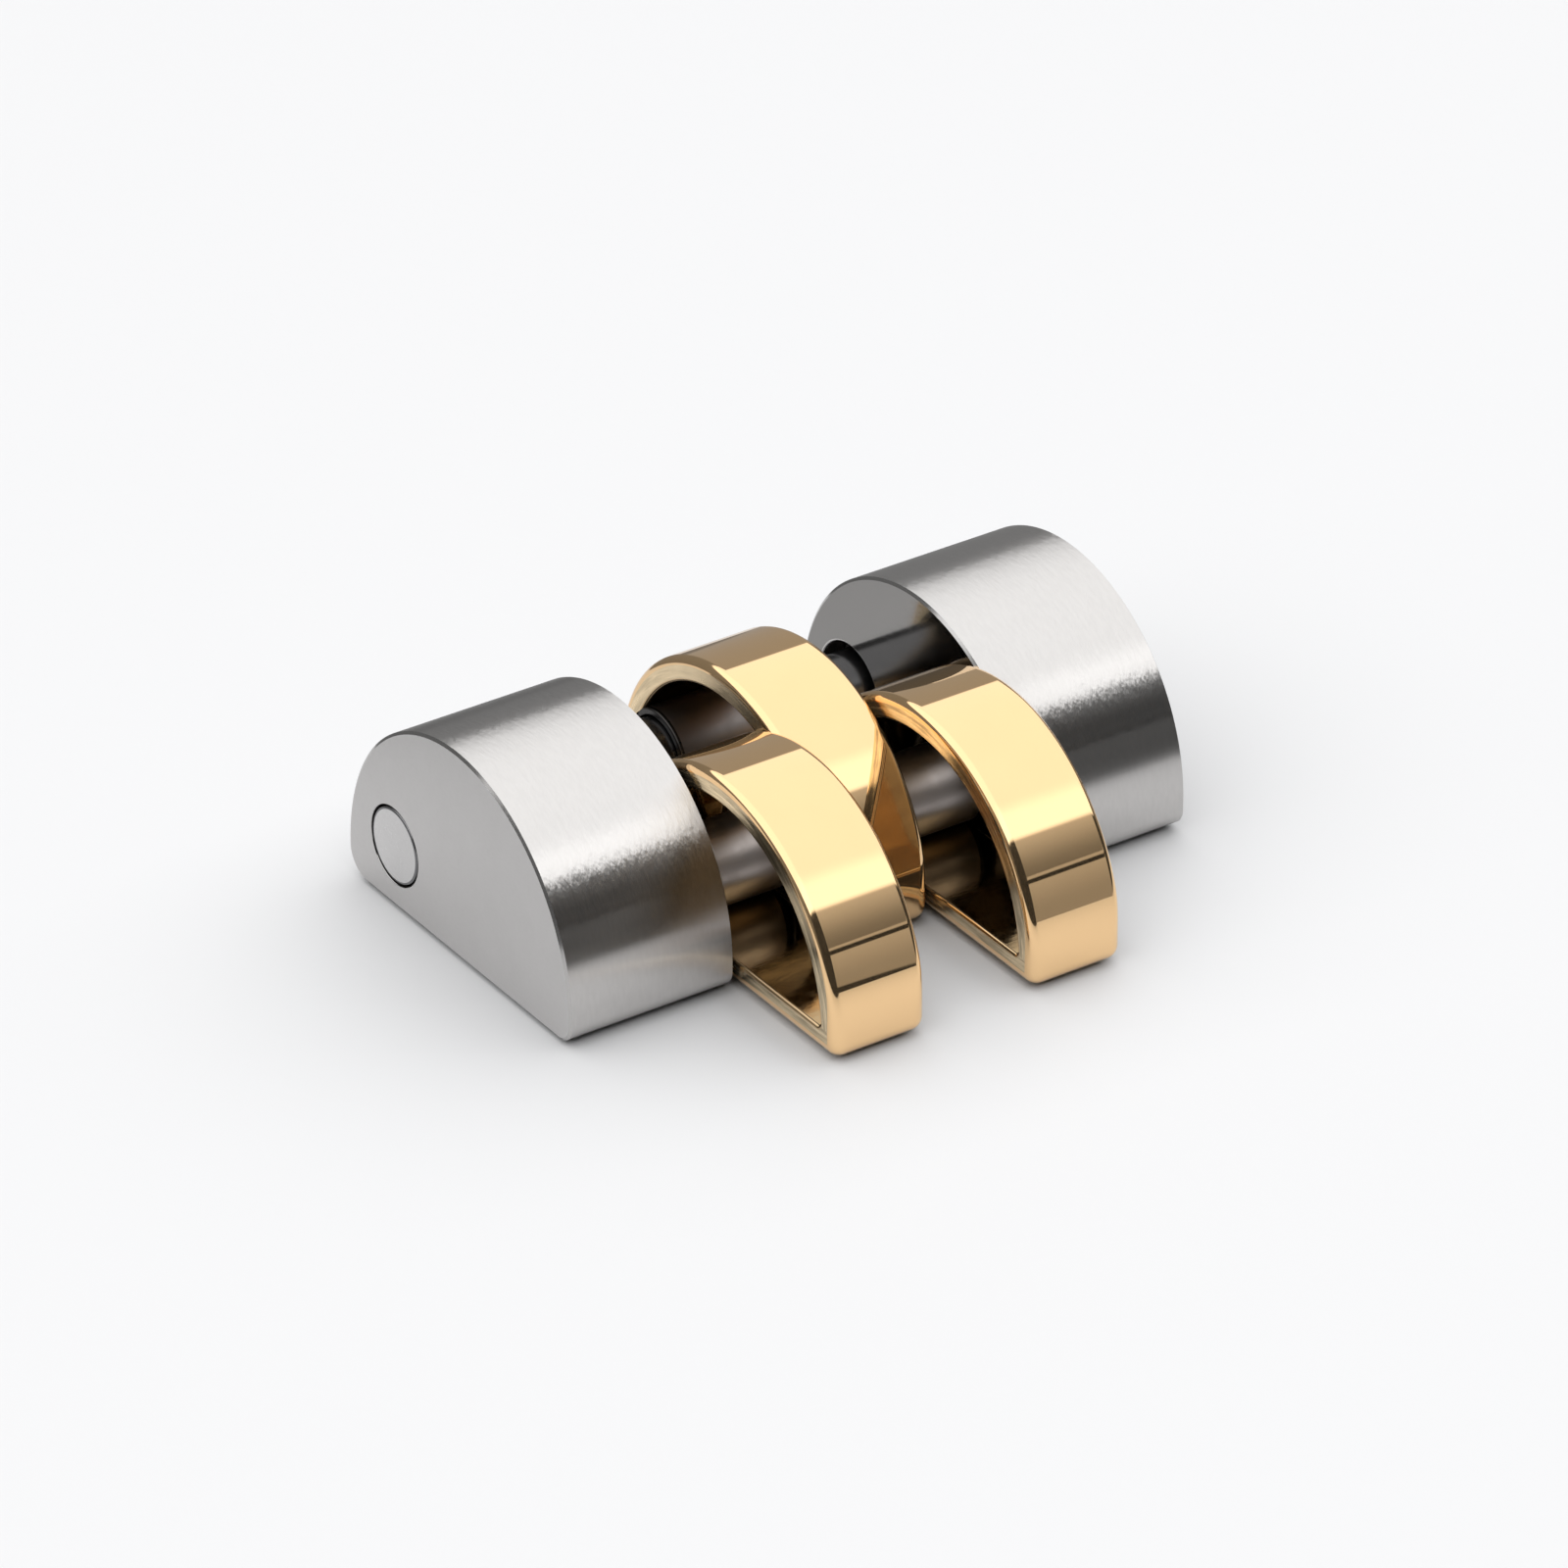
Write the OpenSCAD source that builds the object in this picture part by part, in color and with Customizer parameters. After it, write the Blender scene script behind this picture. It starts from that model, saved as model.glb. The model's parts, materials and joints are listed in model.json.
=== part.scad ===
// One row of a five-piece bracelet: two solid outer links, a hollow centre link between them,
// and two hollow mid links that swing on the front pin and hook over the next row's rear pin.
// X runs along the pins, +Y to the rear of the row, +Z away from the wrist.
// The origin is on the wrist side, mid width and mid length of the outer links.

/* [Outer links] */
// Length of an outer link along the bracelet
outer_len = 5.5; // [5.1:0.05:5.8]
// Height of an outer link above the wrist side
outer_height = 3.2; // [3.1:0.05:3.8]
// Width of an outer link along the pins
outer_width = 2.6; // [2.3:0.1:4]
// Radius of an outer link's lower front corner
outer_front_corner = 0.3; // [0.1:0.02:0.4]
// Radius of an outer link's lower rear corner
outer_rear_corner = 0.42; // [0.1:0.02:0.44]

/* [Centre and mid links] */
// Width of a mid link along the pins
mid_width = 1.48; // [1:0.02:2.4]
// Width of the centre link along the pins
centre_width = 1.56; // [1:0.02:2.4]
// Gap between neighbouring links along the pins
side_gap = 0.07; // [0.03:0.01:0.15]
// How far the hollow links' tops lie below the outer links' tops
top_step = 0.2; // [0:0.02:0.24]
// How much shorter the hollow links are than the outer links
rear_step = 0.22; // [0.1:0.02:0.3]
// How far the mid links stand forward of the centre link
stagger = 2.28; // [2.2:0.02:2.5]
// Wall of the hollow links' round roof
roof_wall = 0.36; // [0.25:0.01:0.42]
// Wall of the hollow links' flat floor
floor_wall = 0.38; // [0.3:0.01:0.5]
// Radius of a hollow link's lower front corner
hollow_front_corner = 0.22; // [0.08:0.02:0.24]
// Radius of a hollow link's lower rear corner
hollow_rear_corner = 0.38; // [0.1:0.02:0.44]

/* [Front pin and hinge tubes] */
// Distance of the front pin's axis from the outer links' front end
front_pin_inset = 1.55; // [1.3:0.05:1.8]
// Diameter of the front pin
front_pin_d = 0.8; // [0.6:0.02:0.9]
// Depth of the front pin's blind bore in each outer link
front_pin_depth = 1.7; // [1:0.1:2.1]
// Outer diameter of the tubes round the front pin
tube_d = 1.2; // [1.12:0.02:1.3]
// Depth to which a tube is let into the floor of its link
tube_seat = 0.03; // [0.02:0.01:0.06]

/* [Rear pin] */
// Distance of the rear pin's axis from the outer links' rear end
rear_pin_inset = 1.18; // [1.12:0.02:1.4]
// Diameter of the rear pin
rear_pin_d = 1.12; // [0.9:0.02:1.12]
// Outer diameter of the tube round the rear pin in the centre link
rear_tube_d = 1.38; // [1.32:0.02:1.46]
// Bevel on the ends of both pins
pin_bevel = 0.04; // [0.01:0.01:0.1]
// Outer diameter of the sleeve that grips the rear pin's tip
sleeve_d = 1.4; // [1.32:0.02:1.5]
// Depth of the sleeve's end below the right link's inner face
sleeve_recess = 0.35; // [0.1:0.05:1]

/* [Fits] */
// Radial clearance of a pin that turns or slides in its bore
run_gap = 0.02; // [0.01:0.005:0.05]
// Radial clearance of the rear pin in the left link
rear_gap = 0.03; // [0.01:0.005:0.06]
// Radial clearance of pieces that are pressed or brazed together
press_gap = 0.005; // [0.002:0.001:0.01]

/* [Hidden] */
$fn = 96;

steel = [0.78, 0.77, 0.76];
pin_steel = [0.45, 0.45, 0.46];
gold = [0.93, 0.76, 0.47];

// Cutting shapes run past the faces that they cut by this much
cut_past = 1;

// Places along the pins: each link's left face, from left to right
mid_left_x = -centre_width / 2 - side_gap - mid_width;
mid_right_x = centre_width / 2 + side_gap;
outer_right_x = mid_right_x + mid_width + side_gap;
outer_left_x = -outer_right_x - outer_width;
row_end_x = outer_right_x + outer_width;

// Places along the bracelet
outer_front_y = -outer_len / 2;
mid_front_y = outer_front_y - stagger;
front_pin_y = outer_front_y + front_pin_inset;
rear_pin_y = outer_len / 2 - rear_pin_inset;

// Both pins lie at the height that the front pin's tubes take on the floor of the hollow links
pin_z = floor_wall + tube_d / 2 - tube_seat;

hollow_len = outer_len - rear_step;
hollow_height = outer_height - top_step;

// Half-round outline, its front end at 0: a front arc and a rear arc that meet at the top,
// short upright flanks under them, a flat base and two rounded lower corners
module half_round(front_r, len, height, front_corner, rear_corner) {
    rear_r = len - front_r;
    front_z = height - front_r;
    rear_z = height - rear_r;
    front_c = min(front_corner, front_z);
    rear_c = min(rear_corner, rear_z);
    intersection() {
        translate([front_r, front_z]) circle(r = front_r);
        translate([0, front_z]) square([front_r, front_r]);
    }
    intersection() {
        translate([front_r, rear_z]) circle(r = rear_r);
        translate([front_r, rear_z]) square([rear_r, rear_r]);
    }
    translate([0, front_c]) square([front_r, front_z - front_c]);
    translate([front_r, rear_c]) square([rear_r, rear_z - rear_c]);
    translate([front_c, 0]) square([front_r - front_c, front_z]);
    translate([front_r, 0]) square([rear_r - rear_c, rear_z]);
    translate([front_c, front_c]) circle(r = front_c);
    translate([len - rear_c, rear_c]) circle(r = rear_c);
}

// Stands an outline up across the bracelet, from x on
module across(x, front_y, width) {
    translate([x, front_y, 0]) rotate([90, 0, 90]) linear_extrude(height = width) children();
}

// Round bar along X
module bar(x, y, z, len, r) {
    translate([x, y, z]) rotate([0, 90, 0]) cylinder(h = len, r = r);
}

// Round bar along X with both ends bevelled
module bevelled_bar(x, y, z, len, r, bevel) {
    bar(x + bevel, y, z, len - 2 * bevel, r);
    translate([x, y, z]) rotate([0, 90, 0]) cylinder(h = bevel, r1 = r - bevel, r2 = r);
    translate([x + len - bevel, y, z]) rotate([0, 90, 0]) cylinder(h = bevel, r1 = r, r2 = r - bevel);
}

module outer_block(x) {
    across(x, outer_front_y, outer_width)
        half_round(outer_len / 2, outer_len, outer_height, outer_front_corner, outer_rear_corner);
}

// Hollow link: the same half round in gold sheet, open at both sides
module hollow_link(x, front_y, width) {
    front_r = outer_len / 2;
    difference() {
        across(x, front_y, width)
            half_round(front_r, hollow_len, hollow_height, hollow_front_corner, hollow_rear_corner);
        across(x - cut_past, front_y, width + 2 * cut_past)
            intersection() {
                half_round_hollow(front_r);
                translate([roof_wall, floor_wall])
                    square([hollow_len - 2 * roof_wall, hollow_height - roof_wall - floor_wall]);
            }
    }
}

// The hollow's outline: the roof's two arcs drawn in by the wall
module half_round_hollow(front_r) {
    rear_r = hollow_len - front_r;
    intersection() {
        translate([front_r, hollow_height - front_r]) circle(r = front_r - roof_wall);
        square([front_r, hollow_height]);
    }
    intersection() {
        translate([front_r, hollow_height - rear_r]) circle(r = rear_r - roof_wall);
        translate([front_r, 0]) square([rear_r, hollow_height]);
    }
}

// Tube of outer diameter d that lines a hollow link and carries a pin
module hinge_tube(x, y, width, d, pin_d) {
    difference() {
        bar(x, y, pin_z, width, d / 2);
        bar(x - cut_past, y, pin_z, width + 2 * cut_past, pin_d / 2 + run_gap);
    }
}

// Bed that a tube of outer diameter d is brazed into
module tube_bed(x, y, width, d) {
    bar(x - cut_past, y, pin_z, width + 2 * cut_past, d / 2 + press_gap);
}

module outer_link_left() {
    color(steel) difference() {
        outer_block(outer_left_x);
        // Blind bore for the front pin
        bar(-outer_right_x - front_pin_depth, front_pin_y, pin_z, front_pin_depth + cut_past,
            front_pin_d / 2 + press_gap);
        // Through bore for the rear pin
        bar(outer_left_x - cut_past, rear_pin_y, pin_z, outer_width + 2 * cut_past,
            rear_pin_d / 2 + rear_gap);
    }
}

module outer_link_right() {
    color(steel) difference() {
        outer_block(outer_right_x);
        bar(outer_right_x - cut_past, front_pin_y, pin_z, front_pin_depth + cut_past,
            front_pin_d / 2 + press_gap);
        // Through bore for the sleeve
        bar(outer_right_x - cut_past, rear_pin_y, pin_z, outer_width + 2 * cut_past,
            sleeve_d / 2 + press_gap);
    }
}

module centre_link() {
    x = -centre_width / 2;
    color(gold) difference() {
        hollow_link(x, outer_front_y, centre_width);
        tube_bed(x, front_pin_y, centre_width, tube_d);
        tube_bed(x, rear_pin_y, centre_width, rear_tube_d);
    }
}

module centre_tube_front() {
    color(steel) hinge_tube(-centre_width / 2, front_pin_y, centre_width, tube_d, front_pin_d);
}

module centre_tube_rear() {
    color(steel) hinge_tube(-centre_width / 2, rear_pin_y, centre_width, rear_tube_d, rear_pin_d);
}

module front_pin() {
    len = 2 * (outer_right_x + front_pin_depth) - 2 * run_gap;
    color(pin_steel) bevelled_bar(-len / 2, front_pin_y, pin_z, len, front_pin_d / 2, pin_bevel);
}

// Loose pin, flush at both ends of the row, pushed out to the left
module rear_pin() {
    color(pin_steel) bevelled_bar(outer_left_x, rear_pin_y, pin_z, row_end_x - outer_left_x,
                                  rear_pin_d / 2, pin_bevel);
}

// Sleeve pressed into the right link, which grips the tip of the rear pin
module rear_pin_sleeve() {
    len = outer_width - sleeve_recess;
    color(steel) difference() {
        bar(row_end_x - len, rear_pin_y, pin_z, len, sleeve_d / 2);
        bar(row_end_x - len - cut_past, rear_pin_y, pin_z, len + 2 * cut_past,
            rear_pin_d / 2 + run_gap);
    }
}

module mid_link(x) {
    color(gold) difference() {
        hollow_link(x, mid_front_y, mid_width);
        tube_bed(x, front_pin_y, mid_width, tube_d);
    }
}

module mid_tube(x) {
    color(steel) hinge_tube(x, front_pin_y, mid_width, tube_d, front_pin_d);
}

outer_link_left();
outer_link_right();
centre_link();
centre_tube_front();
centre_tube_rear();
front_pin();
rear_pin();
rear_pin_sleeve();
mid_link(mid_left_x);  // mid_link_left
mid_tube(mid_left_x);  // mid_tube_left
mid_link(mid_right_x);  // mid_link_right
mid_tube(mid_right_x);  // mid_tube_right
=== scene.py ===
import json
import math

import bpy
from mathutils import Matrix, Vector
from mathutils.geometry import tessellate_polygon

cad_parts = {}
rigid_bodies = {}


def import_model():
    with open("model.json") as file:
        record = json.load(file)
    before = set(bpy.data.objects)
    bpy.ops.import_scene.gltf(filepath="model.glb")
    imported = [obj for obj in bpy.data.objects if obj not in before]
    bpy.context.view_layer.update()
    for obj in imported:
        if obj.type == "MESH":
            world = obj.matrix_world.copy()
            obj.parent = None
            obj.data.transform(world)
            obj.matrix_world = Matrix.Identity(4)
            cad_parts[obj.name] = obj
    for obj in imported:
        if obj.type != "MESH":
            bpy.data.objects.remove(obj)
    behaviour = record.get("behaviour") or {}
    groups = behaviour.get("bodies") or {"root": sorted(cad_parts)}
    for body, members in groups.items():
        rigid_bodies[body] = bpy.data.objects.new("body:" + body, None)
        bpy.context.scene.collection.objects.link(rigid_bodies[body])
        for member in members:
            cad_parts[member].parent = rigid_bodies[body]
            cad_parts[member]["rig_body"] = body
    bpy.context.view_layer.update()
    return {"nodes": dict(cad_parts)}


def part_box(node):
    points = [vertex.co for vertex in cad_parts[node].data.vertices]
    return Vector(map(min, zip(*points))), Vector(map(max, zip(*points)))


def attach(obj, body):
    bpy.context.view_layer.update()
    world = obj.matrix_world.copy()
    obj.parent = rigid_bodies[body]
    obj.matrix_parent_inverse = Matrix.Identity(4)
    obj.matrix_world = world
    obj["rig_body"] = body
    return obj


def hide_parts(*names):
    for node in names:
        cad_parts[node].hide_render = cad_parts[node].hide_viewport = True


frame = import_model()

# Lengths below are in millimetres, in the frame's own axes: X along the pins, Y to the rear, Z up
mm = 0.001
micrometre = 1e-6
print("frame loaded, nodes:", len(frame["nodes"]))


def boxOf(node):
    low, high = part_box(node)
    return low / mm, high / mm


# Camera: front left and above, a long lens close to a flat view
camera = {
    "turn": 34.079,         # degrees to the left of the row's front
    "height": 30.947,       # degrees above the floor
    "aim": (0.066, -0.281, 1.138),
    "distance": 132.7,
    "lens": 225.0,
    "sensor": 36.0,
    "nearest": 1.0,         # what it sees lies between these two distances
    "furthest": 10000.0,
}


def placeCamera():
    turn, height = math.radians(camera["turn"]), math.radians(camera["height"])
    back = Vector((-math.sin(turn) * math.cos(height), -math.cos(turn) * math.cos(height),
                   math.sin(height)))
    data = bpy.data.cameras.new("photoCamera")
    data.lens, data.sensor_width = camera["lens"], camera["sensor"]
    data.clip_start, data.clip_end = camera["nearest"] * mm, camera["furthest"] * mm
    holder = bpy.data.objects.new("photoCamera", data)
    bpy.context.scene.collection.objects.link(holder)
    holder.location = (Vector(camera["aim"]) + back * camera["distance"]) * mm
    holder.rotation_mode = "QUATERNION"
    holder.rotation_quaternion = (-back).to_track_quat("-Z", "Y")
    bpy.context.scene.camera = holder


placeCamera()
bpy.context.scene.view_settings.view_transform = "Standard"
print("camera placed")


# Node helpers

def addNode(tree, kind, **settings):
    node = tree.nodes.new(kind)
    for name, value in settings.items():
        setattr(node, name, value)
    return node


def feed(tree, socket, value):
    # A socket takes either another node's output or a plain value
    if isinstance(value, bpy.types.NodeSocket):
        tree.links.new(value, socket)
    else:
        socket.default_value = value


def calculate(tree, operation, first, second=0.0, third=0.0):
    node = addNode(tree, "ShaderNodeMath", operation=operation)
    for socket, value in zip(node.inputs, (first, second, third)):
        feed(tree, socket, value)
    return node.outputs[0]


def scaled(tree, vector, scale):
    node = addNode(tree, "ShaderNodeVectorMath", operation="SCALE")
    feed(tree, node.inputs[0], vector)
    feed(tree, node.inputs["Scale"], scale)
    return node.outputs[0]


def ramp(tree, value, start, end, low=0.0, high=1.0):
    # Smooth step from low to high while the value goes from start to end
    node = addNode(tree, "ShaderNodeMapRange", interpolation_type="SMOOTHSTEP")
    feed(tree, node.inputs["Value"], value)
    for name, number in (("From Min", start), ("From Max", end), ("To Min", low), ("To Max", high)):
        node.inputs[name].default_value = number
    return node.outputs["Result"]


def mix(tree, kind, factor, first, second):
    # The mix node has a pair of inputs and an output of its own for each kind of value
    a, b, out = {"FLOAT": (2, 3, 0), "VECTOR": (4, 5, 1), "RGBA": (6, 7, 2)}[kind]
    node = addNode(tree, "ShaderNodeMix", data_type=kind)
    feed(tree, node.inputs["Factor"], factor)
    feed(tree, node.inputs[a], first)
    feed(tree, node.inputs[b], second)
    return node.outputs[out]


def split(tree, vector):
    node = addNode(tree, "ShaderNodeSeparateXYZ")
    feed(tree, node.inputs[0], vector)
    return node.outputs


def join(tree, x, y, z):
    node = addNode(tree, "ShaderNodeCombineXYZ")
    for socket, value in zip(node.inputs, (x, y, z)):
        feed(tree, socket, value)
    return node.outputs[0]


def rayIs(tree, kind):
    return addNode(tree, "ShaderNodeLightPath").outputs["Is " + kind + " Ray"]


# Studio: one wide softbox overhead, two grey panels ahead of the row, grey walls beside and behind it,
# dark elsewhere. Lengths on the softbox are counted on a ceiling one unit up
studio = {
    "boxFront": 42.5,       # degrees above the horizon of the softbox's front edge
    "boxRear": 33.0,        # and of its rear edge
    "boxSide": 22.0,        # and of its two side edges
    "boxSoft": 0.05,        # softness of its edges
    "boxLight": 1.36,
    "leftLight": 0.2,       # extra light on its left half
    "leftFade": 0.3,        # length over which that fades to the right of the middle
    "stripLight": 0.33,     # extra light along its front edge
    "stripRise": 0.1,       # length over which that rises
    "stripFull": 0.4,       # how far from the edge it starts to fade
    "stripEnd": 0.65,       # and where it ends
    "panelFrom": 25.0,      # degrees to the right of straight ahead where the grey panels start
    "panelTo": 42.0,        # and where they end
    "panelFoot": 0.27,      # light at the foot of the lower panel
    "panelTop": 0.42,       # and at its top
    "upperFoot": 0.15,      # the same of the upper panel
    "upperTop": 0.62,
    "seamHeight": 18.0,     # degrees above the horizon of the dark seam between the panels
    "seamWidth": 3.0,
    "seamSoft": 0.2,        # share of its width that each of its edges takes
    "rearWall": 0.19,       # light on the walls at both sides and behind
    "wallFrom": 64.0,       # degrees to either side of straight ahead where they start to show
    "wallFull": 90.0,       # and where they have their full light
    "rearLight": 0.14,      # extra light on the part of the rear wall between the next two
    "rearFrom": 136.0,      # degrees to the right of straight ahead
    "rearTo": 158.0,
    "wallSoft": 0.02,       # softness of the panels' and the rear wall's upright edges, in radians
    "dark": 0.01,
    "backdrop": 0.95,
    "lowest": 0.001,        # rays that rise less than this meet the ceiling as if they rose this much
}


def cotangent(degrees):
    return 1.0 / math.tan(math.radians(degrees))


def between(tree, turn, start, end, light):
    # The light where the turn lies between two angles in degrees, and none elsewhere
    start, end, soft = math.radians(start), math.radians(end), studio["wallSoft"]
    return calculate(tree, "MULTIPLY", ramp(tree, turn, start - soft, start + soft, 0.0, light),
                     ramp(tree, turn, end - soft, end + soft, 1.0, 0.0))


def wallLight(tree, x, y, panelLight):
    # Brightness of the walls in the level direction (x, y)
    turn = calculate(tree, "ARCTAN2", x, calculate(tree, "MULTIPLY", y, -1.0))
    panel = between(tree, turn, studio["panelFrom"], studio["panelTo"], 1.0)
    walls = ramp(tree, calculate(tree, "ABSOLUTE", turn), math.radians(studio["wallFrom"]),
                 math.radians(studio["wallFull"]), studio["dark"], studio["rearWall"])
    rear = between(tree, turn, studio["rearFrom"], studio["rearTo"], studio["rearLight"])
    return calculate(tree, "MULTIPLY_ADD", panel, panelLight, calculate(tree, "ADD", walls, rear))


def softboxLight(tree, along, across):
    # How much of a ray meets the softbox, and the softbox's light there
    soft = studio["boxSoft"]
    front, rear = -cotangent(studio["boxFront"]), cotangent(studio["boxRear"])
    side = cotangent(studio["boxSide"])
    met = calculate(tree, "MULTIPLY", ramp(tree, along, front - soft, front + soft),
                    ramp(tree, along, rear - soft, rear + soft, 1.0, 0.0))
    aside = calculate(tree, "ABSOLUTE", across)
    met = calculate(tree, "MULTIPLY", met, ramp(tree, aside, side - soft, side + soft, 1.0, 0.0))
    full, end = front + studio["stripFull"], front + studio["stripEnd"]
    strip = calculate(tree, "MULTIPLY", ramp(tree, along, front, front + studio["stripRise"]),
                      ramp(tree, along, full, end, 1.0, 0.0))
    plain = ramp(tree, across, 0.0, studio["leftFade"], studio["boxLight"] + studio["leftLight"],
                 studio["boxLight"])
    return met, calculate(tree, "MULTIPLY_ADD", strip, studio["stripLight"], plain)


def litPanels(tree, height):
    # Both panels grow lighter upwards
    middle, top = math.radians(studio["seamHeight"]), math.radians(studio["boxFront"])
    lower = ramp(tree, height, 0.0, middle, studio["panelFoot"], studio["panelTop"])
    upper = ramp(tree, height, middle, top, studio["upperFoot"], studio["upperTop"])
    return mix(tree, "FLOAT", calculate(tree, "GREATER_THAN", height, middle), lower, upper)


def seamShade(tree, along):
    # The seam is a straight line across the panels
    low = -cotangent(studio["seamHeight"] - studio["seamWidth"] / 2)
    high = -cotangent(studio["seamHeight"] + studio["seamWidth"] / 2)
    edge = (high - low) * studio["seamSoft"]
    return calculate(tree, "MULTIPLY", ramp(tree, along, low, low + edge),
                     ramp(tree, along, high - edge, high, 1.0, 0.0))


def lightStudio():
    world = bpy.data.worlds.new("studio")
    bpy.context.scene.world = world
    world.use_nodes = True
    tree = world.node_tree
    tree.nodes.clear()
    x, y, z = split(tree, addNode(tree, "ShaderNodeTexCoord").outputs["Generated"])
    rise = calculate(tree, "MAXIMUM", z, studio["lowest"])
    along = calculate(tree, "DIVIDE", y, rise)
    across = calculate(tree, "DIVIDE", x, rise)

    panels = litPanels(tree, calculate(tree, "ARCSINE", z))
    wall = calculate(tree, "MULTIPLY", wallLight(tree, x, y, panels),
                     calculate(tree, "SUBTRACT", 1.0, seamShade(tree, along)))
    met, boxLight = softboxLight(tree, along, across)
    light = mix(tree, "FLOAT", met, wall, boxLight)
    seen = mix(tree, "FLOAT", rayIs(tree, "Camera"), light, studio["backdrop"])

    sky = addNode(tree, "ShaderNodeBackground")
    sky.inputs["Color"].default_value = (1.0, 1.0, 1.0, 1.0)
    feed(tree, sky.inputs["Strength"], seen)
    out = addNode(tree, "ShaderNodeOutputWorld")
    feed(tree, out.inputs["Surface"], sky.outputs[0])


lightStudio()


# Table: a plain pale sheet under the row. What metal mirrors of it dims towards the edge of a round pad
table = {
    "size": 1500.0,
    "below": 0.06,          # the links' undersides are a little hollow, so their edges cast a dark line
    "color": (0.80, 0.802, 0.81, 1.0),
    "roughness": 0.55,
    "padCentre": (0.0, -3.7, 0.0),
    "padRadius": 13.5,
    "padSoft": 0.03,        # softness of its edge, as a share of its radius
    "dimFrom": 3.0,         # distance from the pad's centre where it starts to dim
    "dim": 0.25,            # how much of its light is gone at its edge
}


def mixTablePaper():
    paper = bpy.data.materials.new("tablePaper")
    paper.use_nodes = True
    tree = paper.node_tree
    shader = tree.nodes["Principled BSDF"]
    shader.inputs["Base Color"].default_value = table["color"]
    shader.inputs["Roughness"].default_value = table["roughness"]

    place = addNode(tree, "ShaderNodeVectorMath", operation="SUBTRACT")
    feed(tree, place.inputs[0], addNode(tree, "ShaderNodeTexCoord").outputs["Object"])
    place.inputs[1].default_value = Vector(table["padCentre"]) * mm
    length = addNode(tree, "ShaderNodeVectorMath", operation="LENGTH")
    feed(tree, length.inputs[0], place.outputs[0])
    away = length.outputs["Value"]
    edge, soft = table["padRadius"] * mm, table["padSoft"]
    beyond = calculate(tree, "MAXIMUM", ramp(tree, away, edge * (1 - soft), edge * (1 + soft)),
                       ramp(tree, away, table["dimFrom"] * mm, edge, 0.0, table["dim"]))

    # Beyond the pad, metal mirrors the walls on the table
    x, y, z = split(tree, place.outputs[0])
    walls = addNode(tree, "ShaderNodeEmission")
    feed(tree, walls.inputs["Strength"], wallLight(tree, x, y, studio["panelFoot"]))
    choice = addNode(tree, "ShaderNodeMixShader")
    feed(tree, choice.inputs[0], calculate(tree, "MULTIPLY", beyond, rayIs(tree, "Glossy")))
    feed(tree, choice.inputs[1], shader.outputs[0])
    feed(tree, choice.inputs[2], walls.outputs[0])
    feed(tree, tree.nodes["Material Output"].inputs["Surface"], choice.outputs[0])
    return paper


def layTable():
    half, z = table["size"] / 2 * mm, -table["below"] * mm
    corners = [(-half, -half, z), (half, -half, z), (half, half, z), (-half, half, z)]
    mesh = bpy.data.meshes.new("table")
    mesh.from_pydata(corners, [], [(0, 1, 2, 3)])
    mesh.materials.append(mixTablePaper())
    sheet = bpy.data.objects.new("table", mesh)
    bpy.context.scene.collection.objects.link(sheet)


layTable()
print("studio lit, table laid")


# What all metals share
metalwork = {
    "spill": 0.35,          # share of the light that they throw on the table
    "grainLow": 0.25,       # most of the grain's noise lies between these two
    "grainHigh": 0.75,
    "grainRoughness": 0.6,
    "grainDetail": 4.0,     # unless a metal has a detail of its own
    "roundAt": 2.75,        # radius at which the length round an axis is counted
    "patches": 1800.0,      # patches of tone in a metre
}

# Metals. Grain is how many waves a metre the finish has along X, Y and Z, depth how deep it cuts in
# micrometres, tone how far its colour drifts, and streaks how far it follows the grain
# A finish that runs round an axis along X has the axis' Y and Z under around. Its grain then counts
# along X, away from the axis and round it

# The outer links are brushed from front to rear. Their foot, up to footTo, is smoother and cut less deep
# than what lies above topFrom, and painted a little darker: painted shade over the foot
brushedSteel = {
    "name": "brushedSteel", "color": (0.65, 0.635, 0.622), "roughness": 0.288, "spread": 0.01,
    "grain": (16000, 3000, 5000), "detail": 2.0, "depth": 5.5, "tone": 0.01, "streaks": 0.025,
    "around": (0.0, 0.45), "anisotropy": 1.0,
    "footTo": 1.3, "topFrom": 2.3, "topRoughness": 0.037, "paintedFootShade": 0.9, "footGrain": 0.1,
}
edgeSteel = {
    "name": "edgeSteel", "color": (0.50, 0.49, 0.48), "roughness": 0.14, "spread": 0.03,
    "grain": (9000, 9000, 9000), "depth": 0.1, "tone": 0.02,
}
mattSteel = {
    "name": "mattSteel", "color": (0.62, 0.607, 0.598), "roughness": 0.36, "spread": 0.05,
    "grain": (14000, 12000, 30000), "depth": 0.6, "tone": 0.03,
}
# Polished steel painted dark for the outer links' inner faces: painted shade between the links
shadedPolishedSteel = {
    "name": "shadedPolishedSteel", "color": (0.26, 0.253, 0.245), "roughness": 0.09, "spread": 0.03,
    "grain": (20000, 6000, 26000), "depth": 0.12, "tone": 0.02,
}
# Near black steel for the tubes' ends and bores: painted shade
shadedTubeEndSteel = {
    "name": "shadedTubeEndSteel", "color": (0.05, 0.047, 0.045), "roughness": 0.3, "spread": 0.04,
    "grain": (9000, 9000, 9000), "depth": 0.2, "tone": 0.06,
}
tubeSteel = {
    "name": "tubeSteel", "color": (0.46, 0.42, 0.40), "roughness": 0.37, "spread": 0.04,
    "grain": (9000, 3000, 3000), "depth": 0.15, "tone": 0.06,
}
# A darker copy of the tube steel for the rear tube inside the centre link: painted shade
shadedRearTubeSteel = dict(tubeSteel, name="shadedRearTubeSteel", color=(0.2, 0.18, 0.17))
pinSteel = {
    "name": "pinSteel", "color": (0.20, 0.20, 0.205), "roughness": 0.24, "spread": 0.04,
    "grain": (9000, 3000, 3000), "depth": 0.15, "tone": 0.05,
}
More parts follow.
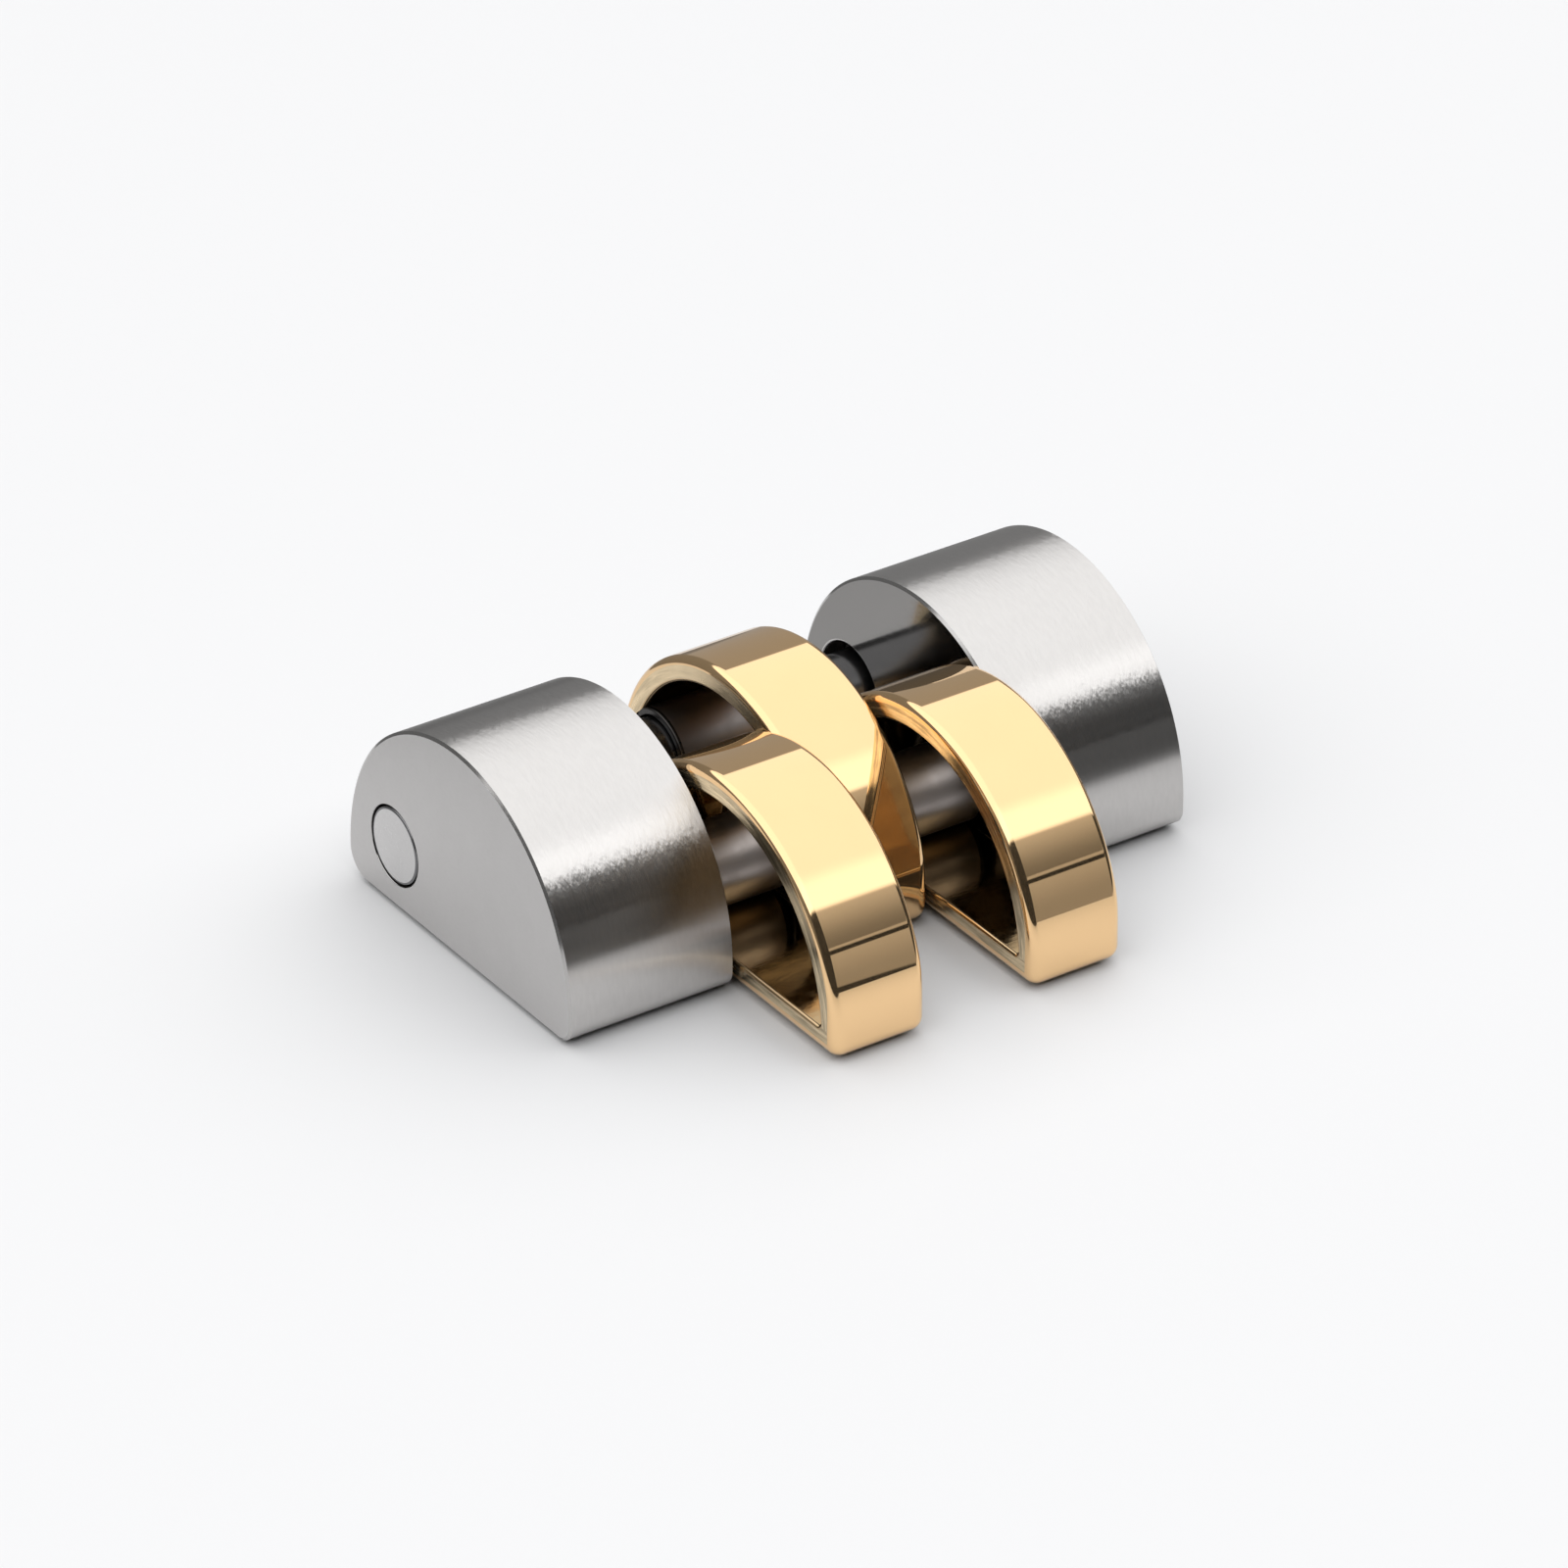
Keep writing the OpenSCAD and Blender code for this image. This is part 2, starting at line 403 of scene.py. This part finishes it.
pinEndSteel = {
    "name": "pinEndSteel", "color": (0.68, 0.67, 0.665), "roughness": 0.34, "spread": 0.08,
    "grain": (16000, 22000, 22000), "depth": 1.6, "tone": 0.05,
}
polishedGold = {
    "name": "polishedGold", "color": (0.92, 0.625, 0.335), "metallic": 0.95,
    "roughness": 0.03, "spread": 0.01, "grain": (5000, 15000, 15000), "depth": 0.02, "tone": 0.02,
}
edgeGold = dict(polishedGold, name="edgeGold", roughness=0.06, spread=0.02)
# A darker copy of the gold for the rims of the openings: painted shade at their mouths
shadedRimGold = dict(polishedGold, name="shadedRimGold", color=(0.58, 0.42, 0.24), roughness=0.1, spread=0.04)
# The streaks on the gold links' sides follow the round roof, and below levelTo the flat floor. The sides'
# gold is painted darker and duller than the polished gold, the mid links' more than the centre link's:
# painted shade in the gaps between the links
sideGold = {
    "name": "sideGold", "color": (0.64, 0.52, 0.34), "metallic": 0.95, "roughness": 0.2, "spread": 0.09,
    "grain": (2000, 18000, 1500), "depth": 2.2, "tone": 0.1, "streaks": 0.5,
    "around": (-2.28, 0.25), "levelTo": 0.4,
}
centreSideGold = dict(sideGold, name="centreSideGold", color=(0.76, 0.60, 0.38), streaks=0.25,
                      around=(0.0, 0.25))
# A dark copy of the gold for the hollows inside the gold links: painted shade
shadedInsideGold = {
    "name": "shadedInsideGold", "color": (0.38, 0.27, 0.14), "roughness": 0.09, "spread": 0.05,
    "grain": (2500, 9000, 9000), "depth": 1.3, "tone": 0.35,
}


def aroundAxis(tree, place, axis):
    # Turns a place into x, distance from an axis along X, and length round it
    x, y, z = split(tree, place)
    y = calculate(tree, "SUBTRACT", y, axis[0] * mm)
    z = calculate(tree, "SUBTRACT", z, axis[1] * mm)
    reach = calculate(tree, "POWER", calculate(tree, "ADD", calculate(tree, "MULTIPLY", y, y),
                                               calculate(tree, "MULTIPLY", z, z)), 0.5)
    length = calculate(tree, "MULTIPLY", calculate(tree, "ARCTAN2", y, z), metalwork["roundAt"] * mm)
    return join(tree, x, reach, length)


def levelBelow(tree, place, rounded, height):
    # Below a height, a place's z and y stand in for the distance from the axis and the length round it
    x, y, z = split(tree, place)
    isLow = calculate(tree, "LESS_THAN", z, height * mm)
    return mix(tree, "VECTOR", isLow, rounded, join(tree, x, z, y))


def makeMetal(look):
    metal = bpy.data.materials.new(look["name"])
    metal.use_nodes = True
    tree = metal.node_tree
    shader = tree.nodes["Principled BSDF"]
    shader.inputs["Metallic"].default_value = look.get("metallic", 1.0)
    place = addNode(tree, "ShaderNodeTexCoord").outputs["Object"]

    grainPlace = place
    if "around" in look:
        grainPlace = aroundAxis(tree, place, look["around"])
    if "levelTo" in look:
        grainPlace = levelBelow(tree, place, grainPlace, look["levelTo"])
    stretch = addNode(tree, "ShaderNodeMapping")
    feed(tree, stretch.inputs["Vector"], grainPlace)
    stretch.inputs["Scale"].default_value = look["grain"]
    noise = addNode(tree, "ShaderNodeTexNoise")
    feed(tree, noise.inputs["Vector"], stretch.outputs[0])
    noise.inputs["Scale"].default_value = 1.0
    noise.inputs["Detail"].default_value = look.get("detail", metalwork["grainDetail"])
    noise.inputs["Roughness"].default_value = metalwork["grainRoughness"]
    grain = noise.outputs[0], metalwork["grainLow"], metalwork["grainHigh"]

    # Slow drift of tone over the piece
    patches = addNode(tree, "ShaderNodeTexNoise")
    feed(tree, patches.inputs["Vector"], place)
    patches.inputs["Scale"].default_value = metalwork["patches"]
    darker = (*(c * (1 - look["tone"]) for c in look["color"]), 1.0)
    lighter = (*(min(1.0, c * (1 + look["tone"])) for c in look["color"]), 1.0)
    color = mix(tree, "RGBA", patches.outputs[0], darker, lighter)
    if "streaks" in look:
        color = scaled(tree, color, ramp(tree, *grain, 1 - look["streaks"], 1 + look["streaks"]))

    roughness = ramp(tree, *grain, look["roughness"] - look["spread"], look["roughness"] + look["spread"])
    bump = addNode(tree, "ShaderNodeBump")
    feed(tree, bump.inputs["Height"], grain[0])
    bump.inputs["Distance"].default_value = look["depth"] * micrometre
    if "topFrom" in look:
        heights = split(tree, place)[2], look["footTo"] * mm, look["topFrom"] * mm
        feed(tree, bump.inputs["Strength"], ramp(tree, *heights, look["footGrain"], 1.0))
        roughness = calculate(tree, "ADD", roughness, ramp(tree, *heights, 0.0, look["topRoughness"]))
        # Painted shade: the colour is darker at the foot and comes up to full above topFrom
        color = scaled(tree, color, ramp(tree, *heights, look["paintedFootShade"], 1.0))
    feed(tree, shader.inputs["Normal"], bump.outputs[0])
    feed(tree, shader.inputs["Roughness"], roughness)

    # Rays that leave the table find the metal darker, so that it keeps the shadows at its foot
    color = scaled(tree, color, ramp(tree, rayIs(tree, "Diffuse"), 0.0, 1.0, 1.0, metalwork["spill"]))
    feed(tree, shader.inputs["Base Color"], color)

    if "anisotropy" in look:
        # The finish spreads light along the pins more than round the links
        shader.inputs["Anisotropic"].default_value = look["anisotropy"]
        shader.inputs["Anisotropic Rotation"].default_value = 0.25      # a quarter turn
        tangent = addNode(tree, "ShaderNodeTangent", direction_type="RADIAL", axis="X")
        feed(tree, shader.inputs["Tangent"], tangent.outputs[0])
    return metal


metals = {look["name"]: makeMetal(look) for look in (
    brushedSteel, edgeSteel, mattSteel, shadedPolishedSteel,
    shadedTubeEndSteel, tubeSteel, shadedRearTubeSteel, pinSteel, pinEndSteel,
    polishedGold, edgeGold, shadedRimGold, sideGold, centreSideGold, shadedInsideGold,
)}
print("metals mixed:", ", ".join(metals))


# Mesh making. A piece is gathered face by face, every corner with its true normal
meshing = {
    "merge": 1e5,           # corners whose places agree when rounded at this scale are one
    "smallest": 1e-4,       # a shorter edge than this is left out
    "roundStep": 2.0,       # degrees to a step on the big arcs
    "cornerStep": 9.0,      # and on the small corners
    "edgeSteps": 5,         # steps over a gold link's rounded edge
    "latheSteps": 4,        # and over a rounding on a turned piece
    "turnSteps": 96,        # steps round a turned piece
}


class PieceMaker:
    def __init__(self):
        self.found, self.points, self.faces, self.normals, self.finishes = {}, [], [], [], []
        self.metals = []

    def point(self, corner):
        key = tuple(round(c * meshing["merge"]) for c in corner)
        if key not in self.found:
            self.found[key] = len(self.points)
            self.points.append(Vector(corner) * mm)
        return self.found[key]

    def face(self, corners, normals, metal):
        # Corners that fall together are dropped, and the face turned to look the way its normals do
        kept, seen = [], set()
        for corner, normal in zip(corners, normals):
            index = self.point(corner)
            if index not in seen:
                seen.add(index)
                kept.append((index, Vector(normal)))
        if len(kept) < 3:
            return
        spots = [self.points[index] for index, normal in kept]
        facing = (spots[2] - spots[0]).cross(spots[-1] - spots[1])
        if facing.dot(sum((normal for index, normal in kept), Vector())) < 0:
            kept.reverse()
        if metal not in self.metals:
            self.metals.append(metal)
        self.faces.append([index for index, normal in kept])
        self.normals += [normal.normalized() for index, normal in kept]
        self.finishes.append(self.metals.index(metal))

    def finish(self, name, node, slot):
        mesh = bpy.data.meshes.new(name)
        mesh.from_pydata(self.points, [], self.faces)
        for metal in self.metals:
            mesh.materials.append(metals[metal])
        mesh.polygons.foreach_set("material_index", self.finishes)
        mesh.polygons.foreach_set("use_smooth", [True] * len(self.faces))
        mesh.normals_split_custom_set(self.normals)
        piece = bpy.data.objects.new(name, mesh)
        bpy.context.scene.collection.objects.link(piece)
        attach(piece, frame["nodes"][node]["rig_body"])
        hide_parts(node)
        return piece


def arc(centre, radius, start, end, facing=1, step=meshing["roundStep"]):
    # Points on an arc in Y and Z, each with the normal that looks to the air
    count = max(3, math.ceil(abs(end - start) / step) + 1)
    stroke = []
    for i in range(count):
        angle = math.radians(start + (end - start) * i / (count - 1))
        c, s = math.cos(angle), math.sin(angle)
        stroke.append((centre[0] + radius * c, centre[1] + radius * s, facing * c, facing * s))
    return stroke


def cornerArc(centre, radius, start, end, facing=1):
    return arc(centre, radius, start, end, facing, meshing["cornerStep"])


def closeOutline(strokes, facing=1):
    # Edges of a closed outline that runs anticlockwise; straight edges fill the gaps between strokes
    edges = []
    for i, stroke in enumerate(strokes):
        edges += [(a[:2], b[:2], a[2:], b[2:]) for a, b in zip(stroke, stroke[1:])]
        a, b = stroke[-1], strokes[(i + 1) % len(strokes)][0]
        dy, dz = b[0] - a[0], b[1] - a[1]
        length = math.hypot(dy, dz)
        if length > meshing["smallest"]:
            normal = (facing * dz / length, -facing * dy / length)
            edges.append((a[:2], b[:2], normal, normal))
    return edges


def halfRound(front, rear, height, bulge, frontCorner, rearCorner):
    # Front arc of radius bulge and the rear arc that meets it on top, a flat base, two rounded corners
    rearBulge = rear - front - bulge
    return closeOutline([
        cornerArc((rear - rearCorner, rearCorner), rearCorner, -90, 0),
        arc((rear - rearBulge, height - rearBulge), rearBulge, 0, 90),
        arc((front + bulge, height - bulge), bulge, 90, 180),
        cornerArc((front + frontCorner, frontCorner), frontCorner, 180, 270),
    ])


def roundOpening(front, rear, height, bulge, wall, floor, frontCorner, rearCorner):
    # The hollow under the roof: both arcs drawn in by the wall, each with a small corner on the floor
    rearBulge = rear - front - bulge
    strokes = []
    for side, roof, corner in ((1, rearBulge, rearCorner), (-1, bulge, frontCorner)):
        centre = (rear - rearBulge if side > 0 else front + bulge, height - roof)
        inner = roof - wall
        lift = floor + corner - centre[1]
        reach = math.sqrt((inner - corner) ** 2 - lift ** 2)
        rise = math.degrees(math.atan2(lift, reach))
        small = (centre[0] + side * reach, floor + corner)
        if side > 0:
            strokes += [cornerArc(small, corner, -90, rise, -1), arc(centre, inner, rise, 90, -1)]
        else:
            strokes += [arc(centre, inner, 90, 180 - rise, -1),
                        cornerArc(small, corner, 180 - rise, 270, -1)]
    return closeOutline(strokes, -1)


# A strip is two levels of an outline on its way along X. A level is the end of the piece that it is
# counted from, how far it lies from there, how far it is drawn in, and the normal's shares along X
# and outwards

def roundedStrips(left, right, edge):
    rings = []
    for k in range(meshing["edgeSteps"] + 1):
        angle = math.pi / 2 * k / meshing["edgeSteps"]
        c, s = math.cos(angle), math.sin(angle)
        rings.append((edge * (1 - c), edge * (1 - s), c, s))
    levels = [(left, x, inset, -nx, nr) for x, inset, nx, nr in rings]
    levels += [(right, -x, inset, nx, nr) for x, inset, nx, nr in reversed(rings)]
    return list(zip(levels, levels[1:]))


def bevelledStrips(left, right, along, inwards):
    length = math.hypot(along, inwards)
    nx, nr = inwards / length, along / length
    return [((left, 0, inwards, -nx, nr), (left, along, 0, -nx, nr)),
            ((left, along, 0, 0, 1), (right, -along, 0, 0, 1)),
            ((right, -along, 0, nx, nr), (right, 0, inwards, nx, nr))]


def extrude(maker, edges, strips, metal, edgeMetal, grow=None):
    # Draws an outline along X through its strips, the middle one in metal; returns the two end loops
    # Corners are drawn in along the mean of the normals that meet there, grow times as far at a height
    pulls = []
    for i, (a, b, na, nb) in enumerate(edges):
        before = Vector(edges[i - 1][3])
        here = Vector(na)
        pulls.append((before + here) / (1 + before.dot(here)))
    sizes = [grow(a[1]) if grow else 1.0 for a, b, na, nb in edges]
    loops = []
    for k, strip in enumerate(strips):
        near, far = ([(end + far * size, a[0] - inset * size * pull[0], a[1] - inset * size * pull[1])
                      for (a, b, na, nb), pull, size in zip(edges, pulls, sizes)]
                     for end, far, inset, nx, nr in strip)
        loops += [near, far]
        finish = metal if k == len(strips) // 2 else edgeMetal
        (nxa, nra), (nxb, nrb) = strip[0][3:], strip[1][3:]
        for i, (a, b, na, nb) in enumerate(edges):
            j = (i + 1) % len(edges)
            maker.face([near[i], near[j], far[j], far[i]],
                       [(nxa, nra * na[0], nra * na[1]), (nxa, nra * nb[0], nra * nb[1]),
                        (nxb, nrb * nb[0], nrb * nb[1]), (nxb, nrb * na[0], nrb * na[1])], finish)
    return loops[0], loops[-1]


def cap(maker, loops, facing, metal):
    # Flat end between an outer loop and its holes
    corners = [corner for loop in loops for corner in loop]
    flat = [[Vector((corner[1], corner[2], 0)) for corner in loop] for loop in loops]
    for triangle in tessellate_polygon(flat):
        maker.face([corners[i] for i in triangle], [(facing, 0, 0)] * 3, metal)


turnAngles = [2 * math.pi * i / meshing["turnSteps"] for i in range(meshing["turnSteps"])]
spokes = [(math.cos(angle), math.sin(angle)) for angle in turnAngles]


def circleLoop(x, centre, radius):
    return [(x, centre[0] + radius * c, centre[1] + radius * s) for c, s in spokes]


def turnedPath(corners):
    # A lathe path through (x, radius, rounding) corners; the air is on the left of its way
    edges = []
    last = None
    steps = meshing["latheSteps"]
    for i, (x, r, rounding) in enumerate(corners):
        here = Vector((x, r))
        stops = [here]
        if rounding:
            back = (Vector(corners[i - 1][:2]) - here).normalized()
            on = (Vector(corners[i + 1][:2]) - here).normalized()
            half = back.angle(on) / 2
            reach = rounding / math.tan(half)
            start, end = here + back * reach, here + on * reach
            centre = here + (back + on).normalized() * rounding / math.sin(half)
            arms = [(start - centre).slerp(end - centre, k / steps) for k in range(steps + 1)]
            stops = [centre + arm.normalized() * rounding for arm in arms]
            sign = 1 if back.cross(on) > 0 else -1
            normals = [(stop - centre).normalized() * sign for stop in stops]
        if last is not None and (stops[0] - last).length > meshing["smallest"]:
            way = (stops[0] - last).normalized()
            normal = Vector((-way[1], way[0]))
            edges.append((last, stops[0], normal, normal))
        for k in range(len(stops) - 1):
            edges.append((stops[k], stops[k + 1], normals[k], normals[k + 1]))
        last = stops[-1]
    return edges


def turn(maker, centre, corners, metal):
    # Turns a path about an axis along X
    for a, b, na, nb in turnedPath(corners):
        near, far = circleLoop(a[0], centre, a[1]), circleLoop(b[0], centre, b[1])
        nearNormals = [(na[0], na[1] * c, na[1] * s) for c, s in spokes]
        farNormals = [(nb[0], nb[1] * c, nb[1] * s) for c, s in spokes]
        for i in range(len(spokes)):
            j = (i + 1) % len(spokes)
            maker.face([near[i], near[j], far[j], far[i]],
                       [nearNormals[i], nearNormals[j], farNormals[j], farNormals[i]], metal)


# The pins' places are read from the frame
def axisOf(node):
    low, high = boxOf(node)
    return ((low.y + high.y) / 2, (low.z + high.z) / 2)


frontAxis, rearAxis = axisOf("front_pin"), axisOf("rear_pin")

# Solid outer links. The bores are given by their radii
outerLink = {
    "frontCorner": 0.3, "rearCorner": 0.42,
    "bevelAlong": 0.03, "bevelInwards": 0.043,
    "frontBore": 0.405, "frontDepth": 1.7,
    "rearBore": 0.59, "sleeveBore": 0.705,
    "boreEdge": 0.01,       # rounding of the bores' mouths
    "innerLip": 0.03,       # but of the through bore's mouth on the inner side
}


def makeOuterLink(node, name, inner):
    # inner is 1 where the link's inner side looks to +X, and -1 where it looks to -X
    low, high = boxOf(node)
    bulge = (high.y - low.y) / 2
    outline = halfRound(low.y, high.y, high.z, bulge, outerLink["frontCorner"], outerLink["rearCorner"])
    strips = bevelledStrips(low.x, high.x, outerLink["bevelAlong"], outerLink["bevelInwards"])
    maker = PieceMaker()
    leftLoop, rightLoop = extrude(maker, outline, strips, "brushedSteel", "edgeSteel")

    # Through bore, for the rear pin in the left link and for the sleeve in the right one
    edge, lip = outerLink["boreEdge"], outerLink["innerLip"]
    leftEdge, rightEdge = (edge, lip) if inner > 0 else (lip, edge)
    leftMetal, rightMetal = ("edgeSteel", "mattSteel") if inner > 0 else ("mattSteel", "edgeSteel")
    bore = outerLink["rearBore"] if inner > 0 else outerLink["sleeveBore"]
    leftEnd, rightEnd = low.x + 2 * leftEdge, high.x - 2 * rightEdge
    turn(maker, rearAxis, [(rightEnd, bore, 0), (leftEnd, bore, 0)], "tubeSteel")
    turn(maker, rearAxis, [(high.x, bore + rightEdge, 0), (high.x, bore, rightEdge), (rightEnd, bore, 0)],
         rightMetal)
    turn(maker, rearAxis, [(leftEnd, bore, 0), (low.x, bore, leftEdge), (low.x, bore + leftEdge, 0)],
         leftMetal)

    # Blind bore for the front pin
    blindBore, blindRim = outerLink["frontBore"], outerLink["frontBore"] + edge
    face = high.x if inner > 0 else low.x
    end = face - inner * outerLink["frontDepth"]
    blind = [(face, blindRim, 0), (face, blindBore, edge), (end, blindBore, 0), (end, 0, 0)]
    turn(maker, frontAxis, blind if inner > 0 else blind[::-1], "tubeSteel")

    for x, facing, loop, mouth in ((low.x, -1, leftLoop, leftEdge), (high.x, 1, rightLoop, rightEdge)):
        holes = [circleLoop(x, rearAxis, bore + mouth)]
        if facing == inner:
            holes.append(circleLoop(x, frontAxis, blindRim))
        # The inner faces take the polished steel painted dark as shade
        cap(maker, [loop] + holes, facing, "shadedPolishedSteel" if facing == inner else "mattSteel")
    return maker.finish(name, node, "outer_steel")


makeOuterLink("outer_link_left", "outerLinkLeft", 1)
makeOuterLink("outer_link_right", "outerLinkRight", -1)
print("outer links made")

# Hollow gold links
goldLink = {
    "wall": 0.36, "floor": 0.38,
    "frontCorner": 0.22, "rearCorner": 0.38,
    "openingFrontCorner": 0.07, "openingRearCorner": 0.12,
    "edge": 0.12, "openingEdge": 0.05,
    "footEdge": 0.2, "footTo": 0.3, "footFrom": 1.1,    # below footFrom the edges grow to footEdge
}


def growAtFoot(height):
    # How many times the edge's rounding is larger at a height
    step = (goldLink["footFrom"] - height) / (goldLink["footFrom"] - goldLink["footTo"])
    step = min(1.0, max(0.0, step))
    return 1.0 + (goldLink["footEdge"] / goldLink["edge"] - 1.0) * step * step * (3 - 2 * step)


def makeGoldLink(node, name, side):
    low, high = boxOf(node)
    outerLow, outerHigh = boxOf("outer_link_left")
    bulge = (outerHigh.y - outerLow.y) / 2
    shell = halfRound(low.y, high.y, high.z, bulge, goldLink["frontCorner"], goldLink["rearCorner"])
    opening = roundOpening(low.y, high.y, high.z, bulge, goldLink["wall"], goldLink["floor"],
                           goldLink["openingFrontCorner"], goldLink["openingRearCorner"])
    maker = PieceMaker()
    outside = extrude(maker, shell, roundedStrips(low.x, high.x, goldLink["edge"]),
                      "polishedGold", "edgeGold", growAtFoot)
    # The hollow's walls and the rims of its mouth take gold painted dark as shade
    inside = extrude(maker, opening, roundedStrips(low.x, high.x, goldLink["openingEdge"]),
                     "shadedInsideGold", "shadedRimGold")
    for facing, outer, inner in zip((-1, 1), outside, inside):
        cap(maker, [outer, inner], facing, side)
    return maker.finish(name, node, "polished_gold")


makeGoldLink("centre_link", "centreLink", "centreSideGold")
makeGoldLink("mid_link_left", "midLinkLeft", "sideGold")
makeGoldLink("mid_link_right", "midLinkRight", "sideGold")
print("gold links made")

# Tubes and sleeve, by their radii outside and inside
tubes = {"front": (0.6, 0.42), "rear": (0.69, 0.58), "sleeve": (0.7, 0.58), "edge": 0.03}


def makeTube(node, name, radii, metal="tubeSteel"):
    # Its ends and bore are painted near black: painted shade
    low, high = boxOf(node)
    outside, hole = radii
    edge = tubes["edge"]
    start, end = low.x + 2 * edge, high.x - 2 * edge
    maker = PieceMaker()
    turn(maker, axisOf(node), [(start, outside, 0), (end, outside, 0)], metal)
    turn(maker, axisOf(node), [(end, outside, 0), (high.x, outside, edge), (high.x, hole, edge),
                               (low.x, hole, edge), (low.x, outside, edge), (start, outside, 0)],
         "shadedTubeEndSteel")
    return maker.finish(name, node, "tube_steel")


makeTube("centre_tube_front", "centreTubeFront", tubes["front"])
# The rear tube inside the centre link takes the darker copy: painted shade
makeTube("centre_tube_rear", "centreTubeRear", tubes["rear"], "shadedRearTubeSteel")
makeTube("mid_tube_left", "midTubeLeft", tubes["front"])
makeTube("mid_tube_right", "midTubeRight", tubes["front"])
makeTube("rear_pin_sleeve", "rearPinSleeve", tubes["sleeve"])

# Pins, by their radii
pins = {"front": 0.4, "rear": 0.56, "edge": 0.03, "ring": 0.01}     # ring is the dark rim inside the edge


def makePin(node, name, radius, endMetal):
    # The flat ends inside the ring can have a finish of their own
    low, high = boxOf(node)
    edge = pins["edge"]
    flat = radius - edge - pins["ring"]
    maker = PieceMaker()
    turn(maker, axisOf(node), [(low.x, 0, 0), (low.x, flat, 0)], endMetal)
    turn(maker, axisOf(node), [(low.x, flat, 0), (low.x, radius, edge), (high.x, radius, edge),
                               (high.x, flat, 0)], "pinSteel")
    turn(maker, axisOf(node), [(high.x, flat, 0), (high.x, 0, 0)], endMetal)
    return maker.finish(name, node, "pin_steel")


makePin("front_pin", "frontPin", pins["front"], "pinSteel")
makePin("rear_pin", "rearPin", pins["rear"], "pinEndSteel")
print("tubes, sleeve and pins made")
